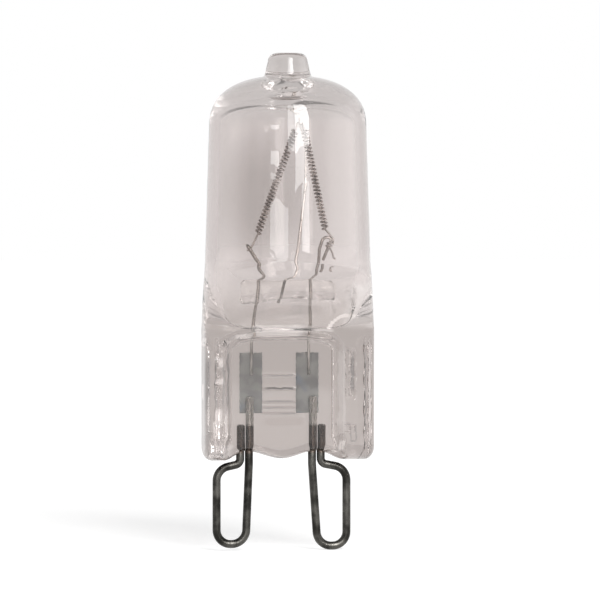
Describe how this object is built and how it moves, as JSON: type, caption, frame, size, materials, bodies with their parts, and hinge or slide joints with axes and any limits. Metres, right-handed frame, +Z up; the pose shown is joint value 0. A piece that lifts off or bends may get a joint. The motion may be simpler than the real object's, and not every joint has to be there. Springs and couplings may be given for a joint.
{
  "type": "halogen capsule bulb",
  "caption": "Clear quartz capsule bulb with a sealed tip, a V-shaped coiled filament and a flat pinched seal that carries looped wire contacts.",
  "frame": {"origin": "on the bulb's axis, level with the lowest point of the contact loops", "axes": "+Z up the bulb's axis to the sealed tip, X across the flat seal, Y through it; the picture's side is -Y"},
  "size_m": [0.0154, 0.0148, 0.0446],
  "materials": {
    "envelope_glass": "clear, fire polished",
    "bridge_glass": "clear",
    "foil": "matt grey foil",
    "contact_wire": "dark drawn wire",
    "lead_wire": "drawn wire",
    "tungsten": "dull grey wire"
  },
  "bodies": {
    "root": {"quartz_envelope": "envelope_glass", "quartz_bridge": "bridge_glass", "foil_left": "foil", "foil_right": "foil", "contact_loop_left": "contact_wire", "contact_loop_right": "contact_wire", "inner_lead_left": "lead_wire", "inner_lead_right": "lead_wire", "support_wire": "lead_wire", "filament": "tungsten"}
  },
  "joints": []
}
